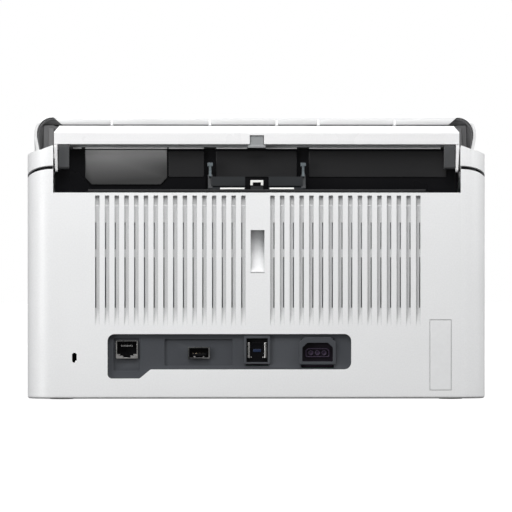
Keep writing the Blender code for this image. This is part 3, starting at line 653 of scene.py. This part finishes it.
def hood():
    """Outer extension of the tray: a thin, round-cornered hood, open to the rear, with ribs inside."""
    sin, cos = math.sin(TRAY_TILT), math.cos(TRAY_TILT)
    low, high = 13.2, (HINGE[0] - HOOD_BACK) * sin + (TOP - HINGE[1]) * cos
    back = (HINGE[0] - HOOD_BACK - high * sin) / cos
    thick = 1.9
    right = [(148.3, low, 0), (149.4, 21, 5), (HOOD_HALF, 28.5, 2), (HOOD_HALF, high + 0.3, 13)]
    room_right = [(145.8, low - 5, 0), (146.3, low, 0), (147.4, 21, 5), (HOOD_HALF - thick, 28.5, 2),
                  (HOOD_HALF - thick, high - 1.6, 10.5), (137.4, high - 1.6, 1.5), (132, high - 6.2, 3)]
    section = fillet([*right, *[(-x, w, r) for x, w, r in right[::-1]]], 20)
    inside = fillet([*room_right, *[(-x, w, r) for x, w, r in room_right[::-1]]], 20)
    shell = prism(section, off_tray_section, back, 190)
    room = prism(inside, off_tray_section, back - 10, 200)
    cut(shell, common(room, box((-170, 170), (FRONT + WALL, 130), (60, 260))))
    cut(shell, box((-160, 160), (HOOD_BACK, 110), (140, 220)))
    cut(shell, box((-160, 160), (-140, FRONT), (100, 220)))
    cut(shell, box((-160, 160), (-150, 150), (TOP, 220)))
    ribs = (98, 31, -14.5, -43, -95)
    for x in ribs:
        fuse(shell, slab(off_tray, (x - 0.7, x + 0.7), (back + 0.3, 181), (high - 7.0, high - 3.6)))
    # Grey inner sheet and web inside the hood: a dark sheet put where the white inner faces are in shade.
    shade_lining = prism([(x * 0.9985, w - 0.2) for x, w in inside], off_tray_section, back - 10, 186)
    cut(shade_lining, prism([(x * 0.992, w - 1.1) for x, w in inside], off_tray_section, back - 20, 200))
    common(shade_lining, box((-170, 170), (FRONT + WALL + 0.5, HOOD_BACK - 1.0), (60, 260)))
    for x in ribs:
        cut(shade_lining, slab(off_tray, (x - 1.3, x + 1.3), (-100, 300), (0, 100)))
    web = prism([(x * 0.9985, w - 0.2) for x, w in inside], off_tray_section, back - 10, 100)
    common(web, box((-170, 170), (HOOD_BACK - 6, HOOD_BACK - 3), (169.5, 260)))
    cut(web, slab(off_tray, (-144.7, 144.7), (-100, 300), (-50, 37.6)),
        box((-131, 131), (0, 100), (100, 300)))
    fuse(shade_lining, web)
    cut(shade_lining, slab(off_tray, (-200, 200), (-100, 300), (-20, 13.8)))
    piece("hood_shade_lining", shade_lining, SHADE_LINING_AND_RAIL_GREY, "tray_slider", edge=0)
    # A thin sheet on the hood's rear face, only there to carry the rim's painted shade and painted light.
    rim = prism(section, off_tray_section, back - 60, 190)
    cut(rim, prism(inside, off_tray_section, back - 70, 200),
        box((-160, 160), (-150, 150), (TOP - 0.1, 220)))
    common(rim, box((-170, 170), (HOOD_BACK + 0.03, HOOD_BACK + 0.3), (168, 260)))
    for x in ribs:
        cut(rim, slab(off_tray, (x - 0.8, x + 0.8), (-100, 300), (0, high - 3.4)))
    piece("hood_rim_shade_sheet", rim, RIM_PAINTED_SHADE_WHITE, "tray_slider", edge=0)
    return piece("tray_hood", shell, HOOD_WHITE, "tray_slider", ["tray_extension"], edge=0.7, segments=3)


def tray_shell():
    """White tray: broad plate with rails, the chamfered rear bar and the arms down to the pins."""
    frame_shape = slab(off_tray, (-144.5, 144.5), (PLATE_FROM + 3, PLATE_TO), (LINER + 4.6, LINER + 7.8))
    fuse(frame_shape, slab(off_tray, (-135.8, 135.8), (-3, PLATE_FROM + 6), (LINER + 5.0, LINER + 7.4)))
    bar = [(86, 172.4, 0.4), (92, 172.4, 0.4), (92, 180.2, 0.8), (87.5, 185, 0.8), (86, 185, 0)]
    fuse(frame_shape, prism(fillet(bar, 5), along_x, -137.1, 137.1))
    for side in (1, -1):
        mitre = [(side * x, z) for x, z in ((132.7, 186), (138.2, 186), (138.2, 179.4))]
        cut(frame_shape, prism(mitre, along_y, 80, 100))
        arm_side = prism([(86.8, 176), (91.6, 176), *arc(HINGE, 1.9, 0, -180, 24)], along_x,
                         *span(side, 130, 138))
        arm_edge = ((135.0, 176), (137.1, 176), (137.1, 170), (136.1, 150), (134.6, 150))
        arm_back = [(side * x, z) for x, z in arm_edge]
        fuse(frame_shape, common(prism(arm_back, along_y, 80, 100), arm_side))
        fuse(frame_shape, slab(off_tray, span(side, 141.5, 144.2), (PLATE_FROM + 4, PLATE_TO - 1),
                               (LINER + 5.4, LINER + 13)))
        fuse(frame_shape, slab(off_tray, span(side, 60, 62), (12, PLATE_TO - 2), (LINER + 5.6, LINER + 14)))
    cut(frame_shape, box((-4.8, 4.8), (80, 100), (170, 178.6)), box((-6.3, 6.3), (80, 100), (160, 172.2)))
    piece("tray_shell", frame_shape, WHITE_GLOSS, "input_tray", ["tray_frame"], edge=FEW)
    for side, name in ((1, "right"), (-1, "left")):
        rail = slab(off_tray, span(side, 137.5, 140.9), (29, PLATE_TO - 3), (LINER + 8.3, LINER + 23))
        fuse(rail, slab(off_tray, span(side, 130, 139), (31, PLATE_TO - 3), (LINER + 19.5, LINER + 22)))
        end = [(side * x, w) for x, w in ((137.6, 15.0), (144.5, 15.0), (144.5, 37.2), (137.6, 37.2),
                                          (133.5, 35.8), (133.5, 34.2), (137.6, 34.2))]
        fuse(rail, common(prism(end, off_tray_section, 20, 60), box((-150, 150), (51, 53.9), (150, 200))))
        piece(f"hood_rail_{name}", rail, SHADE_LINING_AND_RAIL_GREY, "input_tray", edge=0.3)
        pin = rod(HINGE, 1.5, *span(side, 136.3, 141.5), 32)
        piece(f"tray_pin_{name}", pin, SATIN, "input_tray", edge=0.2)
        block = prism(fillet([(84.5, 172.2, 1), (91.2, 172.2, 1), (91.2, 156.6, 1), (88.4, 155.6, 1),
                              (84.5, 156, 1)], 5), along_x, *span(side, 126.9, 134.3))
        piece(f"hinge_block_{name}", block, GREY, "input_tray", edge=0.4)


def liner():
    """Dark paper side of the tray, with shallow panels that carry on the ones on the feeder behind it."""
    base = slab(off_tray, (-132, 132), (PLATE_FROM + 4, PLATE_TO - 1), (LINER, LINER + 4.3))
    cut(base, slab(off_tray, (-128, 128), (PLATE_FROM + 8, PLATE_TO - 5), (LINER + 2.2, LINER + 9)))
    fuse(base, slab(off_tray, (-125, 125), (4.5, PLATE_FROM + 6), (LINER + 3.4, LINER + 4.4)))
    cut(base, box((-6, 6), (84, 100), (150, 190)))
    for x in range(-115, 120, 23):
        cut(base, slab(off_tray, (x - 0.6, x + 0.6), (44, PLATE_TO - 8), (LINER - 2, LINER + 0.5)))
    piece("paper_liner", base, SATIN, "input_tray", ["tray_liner"], edge=0.3)
    # The lips are painted highlight: strips much lighter than the dark liner they belong to.
    lips = [("gap", 118.5, 124.5), ("centre_left", -27.3, -6.3), ("centre_right", 6.3, 27.3),
            ("left", -125, -35.6), ("right", 35.6, 59.5), ("plate", 60.6, 116)]
    for name, low_x, high_x in lips:
        lip = box((low_x, high_x), (84.9, 85.7), (169.5, 170.4))
        piece(f"liner_lip_{name}", lip, LIP_HIGHLIGHT_GREY, "input_tray", edge=0.2)
    piece("liner_band", box((-125, 125), (84.3, 85.3), (170.6, 171.6)), BAND_GREY, "input_tray", edge=0.2)
    tab = box((-4.5, 4.5), (86.8, 91.0), (171.0, 178.3))
    fuse(tab, box((-6.0, 6.0), (88.0, 91.6), (170.0, 171.9)))
    piece("finger_tab", tab, RAIL_GREY, "input_tray", ["tray_tab"], edge=0.4)


# ---------------------------------------------------------------- feeder behind the mouth
FAR_WALL = 80.0  # rear face of the feeder, seen through the mouth
FAR_FOOT = 139.3


def feeder():
    """Fixed cover over the pick rollers, with the raised panels of its rear wall."""
    roof = [on_tray(7, 15.3), on_tray(35, 15.3), on_tray(36, LINER - 2.0), on_tray(148, LINER - 2.0)]
    under = [(FAR_WALL, FAR_FOOT), on_path(58, 9), on_path(66, 3.2), on_path(111.5, 3.2)]
    swing = arc(HATCH_PIVOT, HATCH_REACH, 23.5, 75.5, 28)
    cover = prism([*roof[:1], *under, *swing, *roof[:0:-1]], along_x, -136.5, 136.5)
    inner = [(FAR_WALL - WALL, 166), (FAR_WALL - WALL, FAR_FOOT + 1.4), on_path(57.5, 11), on_path(67, 5.2),
             on_path(109, 5.2), *arc(HATCH_PIVOT, HATCH_REACH + 2.5, 25, 75, 28),
             (roof[3][0] + 2, roof[3][1] - 2.6), (roof[2][0] + 2.5, roof[2][1] - 2.0),
             (roof[1][0] + 2.2, roof[1][1] - 2.2)]
    cut(cover, prism(inner, along_x, -150, 150))
    for side in (1, -1):
        wing = prism([(-80, 118), (56, 139), (90, 139), (90, 0), (-80, 0)], along_x,
                     *span(side, CHUTE_HALF + 0.5, 150))
        cut(cover, wing)
        cut(cover, box(span(side, 28.2, 34.6), (FAR_WALL - 1.4, 90), (130, 180)))
    cut(cover, slab(off_path, (-16, 16), (60, 92), (-2, 24)))
    piece("feeder_shell", cover, BLACK, "housing", ["feeder_cover"], edge=0.3)
    panels = [("centre", -27.3, 27.3), ("left", -129, -35.6), ("right", 35.6, 59.5)]
    for name, low_x, high_x in panels:
        panel = prism(rounded((low_x, high_x), (150.5, 168), 1.0, 4), along_y,
                      FAR_WALL + 0.05, FAR_WALL + 0.8)
        piece(f"feeder_panel_{name}", panel, SATIN, "housing", edge=0.3)
    outline = fillet([(60.6, 169, 0.5), (116, 169, 0.5), (116, 150, 2), (111.5, 145.3, 2), (65, 145.3, 2),
                      (60.6, 150, 2)], 5)
    plate = prism(outline, along_y, FAR_WALL + 0.3, FAR_WALL + 1.5)
    piece("service_panel", plate, PLATE_GREY, "housing", ["service_plate"], edge=0.4)


CHUTE_HALF = 116.0


def chute():
    """Lower paper guide: a ribbed plate with its windows, and the lighter wear strip along its top edge."""
    plate = slab(off_path, (-116, 116), (1.5, 165), (-2, 0))
    holes = [slab(off_path, (-108, 108), (129.6, 144.6), (-9, 9)),
             slab(off_path, (-14, 14), (64, 88), (-9, 9))]
    for x in (-40.0, 40.0):
        holes.append(slab(off_path, (x - 9.5, x + 9.5), (114, 128.5), (-9, 9)))
        holes.append(slab(off_path, (x - 9.5, x + 9.5), (145.8, 159), (-9, 9)))
    for side in (1, -1):
        holes.append(slab(off_path, span(side, 10, 110), (9.5, 12.8), (-9, 9)))
    holes.append(rod((0, 24), 2.4, -9, 9, 24, off_path))
    cut(plate, group(holes))
    for x in (-104, -88, -72, -56, 56, 72, 88, 104):
        cut(plate, slab(off_path, (x - 0.7, x + 0.7), (17, 62), (-0.5, 3)))
    piece("paper_chute", plate, DARK, "housing", ["lower_chute"], edge=0.3)
    sill = prism(rounded((94.6, 96.2), (140.2, 141.9), 0.3, 3), along_x, -114, 114)
    piece("chute_lip", sill, SATIN, "housing", edge=0.1)


# ---------------------------------------------------------------- paper guides
def guide(side):
    """Sliding guide: waisted upright with a pressed groove, and a flat foot with its corner cut out."""
    name = "right" if side > 0 else "left"
    wall_outline = fillet([(*on_path(0.5, 1.8), 1), (*on_path(44, 1.8), 2), (*on_path(40, 8), 3),
                           (*on_path(10.5, 8), 2), (82.7, 160.5, 1.5), (86.5, 160.5, 1.5), (87, 154, 2)], 8)
    wall = prism(wall_outline, along_x, *span(side, 30, 33))
    waist = [(33.5, 158.0), (32.5, 156.8), (32.4, 152.5), (33.5, 151.5)]
    for flip in (1, -1):
        bite = [(side * (31.5 + flip * (x - 31.5)), z) for x, z in waist]
        cut(wall, prism(bite, along_y, 70, 100))
    fuse(wall, slab(off_path, span(side, 8, 31), (0.8, 30), (1.8, 5.6)))
    fuse(wall, box(span(side, 8, 31), (91.2, 93.2), (144.3, 150.6)))
    cut(wall, slab(off_path, span(side, 0, 20), (8, 19), (3.8, 9)))
    for x in (23, 26.5):
        cut(wall, slab(off_path, span(side, x, x + 1.2), (6, 27), (5.0, 9)))
    piece(f"{name}_guide_wall", wall, GUIDE_GREY, f"{name}_guide_slider", [f"{name}_guide"], edge=0.45)


def guide_edge(side):
    """Rear edge of a guide, with the rounded knob on top, in a lighter copy of the guide plastic: painted
    highlight.
    """
    name = "right" if side > 0 else "left"
    strip = prism([(87.1, 153.6), (86.7, 159.6), (87.5, 159.6), (87.9, 154.0), (91.0, 150.9), (90.3, 150.6)],
                  along_x, *span(side, 30.7, 32.3))
    fuse(strip, box(span(side, 29.7, 33.3), (86.3, 87.9), (157.8, 160.0)))
    piece(f"{name}_guide_edge", strip, GUIDE_HIGHLIGHT_GREY, f"{name}_guide_slider", edge=0.4)


def bridge():
    """Small white bridge on a dark foot, over the pinion's pivot at the middle of the chute."""
    foot = slab(off_path, (-4.2, 4.2), (0.8, 4.2), (0.3, 4.6))
    piece("bridge_foot", foot, DARK, "housing", ["pinion_bridge"], edge=0.2)
    shape = box((-4.4, 4.4), (89.4, 92.2), (144.6, 148.2))
    cut(shape, box((-2.7, 2.7), (80, 100), (140, 146.6)))
    piece("guide_bridge", shape, NYLON, "housing", edge=0.3)


# ---------------------------------------------------------------- ports
BEZEL_BACK = BACK - WALL - GAP


def port_panel():
    plate = box((-70, 107), (BEZEL_BACK - 2.2, BEZEL_BACK), (7, 50))
    holes = [box((x[0] - GAP, x[1] + GAP), (85, 110), (z[0] - GAP, z[1] + GAP))
             for x, z in ((JACK_X, JACK_Z), (HOST_X, HOST_Z), (DEVICE_X, DEVICE_Z), (INLET_X, INLET_Z))]
    for x, z, r in (((79.4, 97), (19.2, 41.5), 1), ((16.6, 62.5), (22.6, 40.8), 1)):
        cut(plate, prism(rounded(x, z, r, 4), along_y, BEZEL_BACK - 1.3, 110))
    cut(plate, group(holes))
    piece("port_panel", plate, SLATE, "housing", ["port_bezel"], edge=0.25)


JACK_X, JACK_Z = (80.8, 95.1), (27.9, 39.5)
HOST_X, HOST_Z = (32.1, 46.3), (27.7, 35.1)
DEVICE_X, DEVICE_Z = (-7.5, 7.5), (23, 41)
INLET_X, INLET_Z = (-51.7, -30.1), (21.5, 40.8)


def network_jack():
    """Network socket: a thin plated shield round a stepped black mouth with eight gilt wires."""
    right = [(81.3, 39.4), (81.3, 30.7), (83.4, 30.7), (83.4, 29.6), (85.4, 29.6), (85.4, 28.4)]
    mirror = JACK_X[0] + JACK_X[1]
    mouth = [*right, *[(mirror - x, z) for x, z in right[::-1]]]
    shell = box(JACK_X, (89.9, 97.2), JACK_Z)
    cut(shell, prism(mouth, along_y, 91.0, 110))
    piece("network_jack", shell, BLACK, "housing", ["ethernet_jack"], edge=0.1)
    face = prism(rounded((80.6, 95.3), (27.7, 39.7), 0.5, 4), along_y, 97.25, 97.6)
    cut(face, prism(mouth, along_y, 92, 110))
    piece("network_jack_shield", face, NICKEL, "housing", edge=0.06)
    for k in range(8):
        x = mirror / 2 + (k - 3.5) * 1.02
        wire = prism([(91.2, 38.5), (92.0, 38.5), (95.6, 35.9), (95.2, 35.5)], along_x, x - 0.18, x + 0.18)
        piece(f"jack_contact_{k}", wire, WIRE, "housing", edge=0)


def host_port():
    """Host socket: black mouth in a thin dark frame, with four gilt contacts and two bright springs."""
    shell = box(HOST_X, (89.9, 97.2), HOST_Z)
    cut(shell, box((33.0, 45.4), (91.0, 110), (28.5, 34.3)))
    piece("host_port_shell", shell, BLACK, "housing", ["usb_host_port"], edge=0.15)
    frame_plate = box((31.9, 46.5), (97.25, 97.5), (27.5, 35.3))
    cut(frame_plate, box((32.7, 45.7), (90, 110), (28.2, 34.6)))
    piece("host_port_frame", frame_plate, DARK_METAL, "housing", edge=0.08)
    piece("host_port_tongue", box((34.2, 44.2), (91.05, 95.4), (29.4, 31.2)), BLACK, "housing", edge=0.2)
    for k in range(4):
        x = 35.7 + k * 2.35
        piece(f"host_contact_{k}", box((x, x + 1.2), (91.3, 95.0), (31.25, 31.4)), GOLD, "housing", edge=0)
    for x in (35.6, 41.8):
        spring = box((x, x + 1.0), (92.5, 96.6), (28.6, 29.2))
        piece(f"host_spring_{x:.0f}", spring, NICKEL, "housing", edge=0.1)


def device_port():
    """Device socket: deep black recess in a raised collar, plated side walls and a stepped black core."""
    shell = box(DEVICE_X, (89.9, 94.6), DEVICE_Z)
    core_outline = [(-4.6, 24.2), (4.6, 24.2), (4.6, 35.6), (3.0, 38.6), (-3.0, 38.6), (-4.6, 35.6)]
    piece("device_port_shell", shell, BLACK, "housing", ["usb_device_port"], edge=0.2)
    for side, name in ((1, "right"), (-1, "left")):
        wall = box(span(side, 4.9, 6.3), (94.65, 96.6), (28.0, 38.4))
        foot = box(span(side, 3.6, 6.3), (94.65, 96.0), (28.0, 29.0))
        piece(f"device_wall_{name}", fuse(wall, foot), NICKEL, "housing", edge=0.25)
    core = prism(core_outline, along_y, 94.65, 96.0)
    cut(core, prism(rounded((-3.9, 3.9), (26.0, 37.6), 0.5, 4), along_y, 95.2, 99))
    piece("device_core", core, BLACK, "housing", edge=0.2)
    piece("device_tongue", box((-2.7, 2.7), (94.8, 95.8), (32.0, 34.0)), BLUE, "housing", edge=0.3)
    collar = prism(rounded((-8.9, 8.9), (23.9, 43.2), 1.2, 5), along_y, BEZEL_BACK + 0.05, BEZEL_BACK + 1.9)
    cut(collar, box((-7.2, 7.2), (80, 110), (25.2, 41.2)))
    piece("device_port_collar", collar, SLATE, "housing", edge=0.4)


def inlet():
    """Power inlet: collar with cut upper corners round a black well that holds three sockets."""

    def outline(inset):
        low_x, high_x, low_z, high_z = -53.2 + inset, -28.6 - inset, 23.6 + inset, 42.0 - inset * 1.9
        return fillet([(low_x, low_z, 0.5), (high_x, low_z, 0.5), (high_x, high_z - 3.2, 0.8),
                       (high_x - 3.4, high_z, 0.8), (low_x + 3.4, high_z, 0.8),
                       (low_x, high_z - 3.2, 0.8)], 4)

    collar = prism(outline(0), along_y, BEZEL_BACK + 0.05, BEZEL_BACK + 1.9)
    cut(collar, prism(outline(2.0), along_y, 80, 110))
    piece("inlet_collar", collar, SLATE, "housing", edge=0.4)
    shell = box(INLET_X, (89.9, 94.0), INLET_Z)
    piece("inlet_shell", shell, INLET, "housing", ["power_inlet"], edge=0.2)

    def mouth(inset):
        low_x, high_x, low_z, high_z = -48.9 + inset, -32.9 - inset, 28.6 + inset, 34.4 - inset
        return fillet([(low_x, low_z, 0.8), (high_x, low_z, 0.8), (high_x, high_z - 1.2, 0.6),
                       (high_x - 1.4, high_z, 0.6), (low_x + 1.4, high_z, 0.6),
                       (low_x, high_z - 1.2, 0.6)], 5)

    rim = prism(mouth(0), along_y, 94.05, 95.6)
    cut(rim, prism(mouth(0.5), along_y, 80, 110))
    piece("inlet_rim", rim, INLET_EDGE, "housing", edge=0.15)
    for k, x in enumerate((-45.4, -40.9, -36.4)):
        socket = rod((x, 31.4), 1.7, 94.05, 95.2, 28, along_y)
        cut(socket, rod((x, 31.4), 1.2, 94.3, 99, 20, along_y))
        piece(f"inlet_socket_{k}", socket, INLET_EDGE, "housing", edge=0.25)


# ---------------------------------------------------------------- small parts inside
def board_parts():
    """Connectors and chips on the main board, behind the vents."""
    for k, (x, z, width, height) in enumerate(((60, 50, 16, 12), (20, 50, 22, 10), (-20, 48, 10, 10),
                                               (-50, 50, 14, 14))):
        chip = box((x - width / 2, x + width / 2), (85.6, 87.5), (z - height / 2, z + height / 2))
        piece(f"board_chip_{k}", chip, BLACK, "housing", edge=0.2)


def front_details():
    """Rings round the two buttons on the front hatch."""
    for x, radius in ((-78.0, 7.0), (78.0, 9.0)):
        ring = rod((x, 44), radius + 2.2, 0.02, 0.35, 64, off_face)
        cut(ring, rod((x, 44), radius + 0.5, -3, 5, 64, off_face))
        piece(f"button_ring_{'power' if x < 0 else 'scan'}", ring, RAIL_GREY, "hatch", edge=0.1)


# ---------------------------------------------------------------- scene
def studio():
    """Pale floor, large soft lights, and the camera a little to one side of square behind the rear."""
    scene = bpy.context.scene
    scene.view_settings.view_transform = "Standard"
    world = bpy.data.worlds.new("studio")
    scene.world = world
    world.use_nodes = True
    sky = world.node_tree.nodes["Background"]
    sky.inputs["Color"].default_value = (1.0, 1.0, 1.0, 1.0)
    seen = world.node_tree.nodes.new("ShaderNodeLightPath")
    strength = world.node_tree.nodes.new("ShaderNodeMapRange")
    strength.inputs["To Min"].default_value = WORLD_LIGHT
    strength.inputs["To Max"].default_value = 1.0
    world.node_tree.links.new(seen.outputs["Is Camera Ray"], strength.inputs["Value"])
    world.node_tree.links.new(strength.outputs["Result"], sky.inputs["Strength"])

    floor = bpy.data.objects.new("floor", bpy.data.meshes.new("floor"))
    floor.data.from_pydata([(-8, -8, -0.0004), (8, -8, -0.0004), (8, 8, -0.0004), (-8, 8, -0.0004)], [],
                           [(0, 1, 2, 3)])
    scene.collection.objects.link(floor)
    nodes = Nodes("floor_paper")
    nodes.link(nodes.shaded((0.12, 0.12, 0.12), nodes.noise(2.0), 0.01), nodes.shader.inputs["Base Color"])
    nodes.shader.inputs["Roughness"].default_value = 0.9
    nodes.shader.inputs["Specular IOR Level"].default_value = 0.1
    nodes.shader.inputs["Emission Color"].default_value = (1.0, 1.0, 1.0, 1.0)
    seen = nodes.add("ShaderNodeLightPath").outputs["Is Camera Ray"]
    nodes.link(nodes.spread(seen, FLOOR_LIGHT, 1.0, 0.0, 1.0), nodes.shader.inputs["Emission Strength"])
    floor.data.materials.append(nodes.material)

    for name, spot, size, power in LIGHTS:
        light = bpy.data.lights.new(name, "AREA")
        light.shape = "RECTANGLE"
        light.size, light.size_y = size
        light.energy = power
        lamp = bpy.data.objects.new(name, light)
        lamp.location = spot
        lamp.rotation_mode = "QUATERNION"
        lamp.rotation_quaternion = (Vector((0, 0, 0.1)) - Vector(spot)).to_track_quat("-Z", "Y")
        scene.collection.objects.link(lamp)

    camera = bpy.data.objects.new("camera", bpy.data.cameras.new("camera"))
    camera.data.sensor_width = 36.0
    camera.data.lens = LENS
    camera.location = CAMERA_PLACE
    camera.rotation_mode = "QUATERNION"
    camera.rotation_quaternion = (Vector(CAMERA_AIM) - camera.location).to_track_quat("-Z", "Y")
    camera.data.clip_start = 0.1
    camera.data.clip_end = 50
    scene.collection.objects.link(camera)
    scene.camera = camera


CAMERA_PLACE = (0.118, 4.099, 0.0969)
CAMERA_AIM = (0.0008, 0.099, 0.0969)  # on the rear face, at half its height
LENS = 193.9 * 4.0 / 1.861  # 193.9 mm frames the object from 1.861 m, and the camera stands at 4 m
WORLD_LIGHT = 0.33
FLOOR_LIGHT = 0.0  # what the floor adds to the light on the object
LIGHTS = (
    ("key", (0.05, 0.50, 0.60), (0.5, 0.35), 3.15),
    ("left", (1.1, 0.8, 0.25), (0.5, 0.5), 7.5),
    ("right", (-1.0, 0.27, 0.45), (0.5, 0.5), 5.4),
    ("top", (0.0, 0.2, 1.6), (1.4, 0.8), 3.5),
    ("front", (0.6, -2.0, 1.2), (1.6, 1.2), 8.0),
)

dress_cad_nodes()
rear_shell()
seam_seal()
both_sides(pod)
hood()
tray_shell()
liner()
feeder()
chute()
both_sides(guide)
both_sides(guide_edge)
bridge()
port_panel()
network_jack()
host_port()
device_port()
inlet()
board_parts()
front_details()
studio()
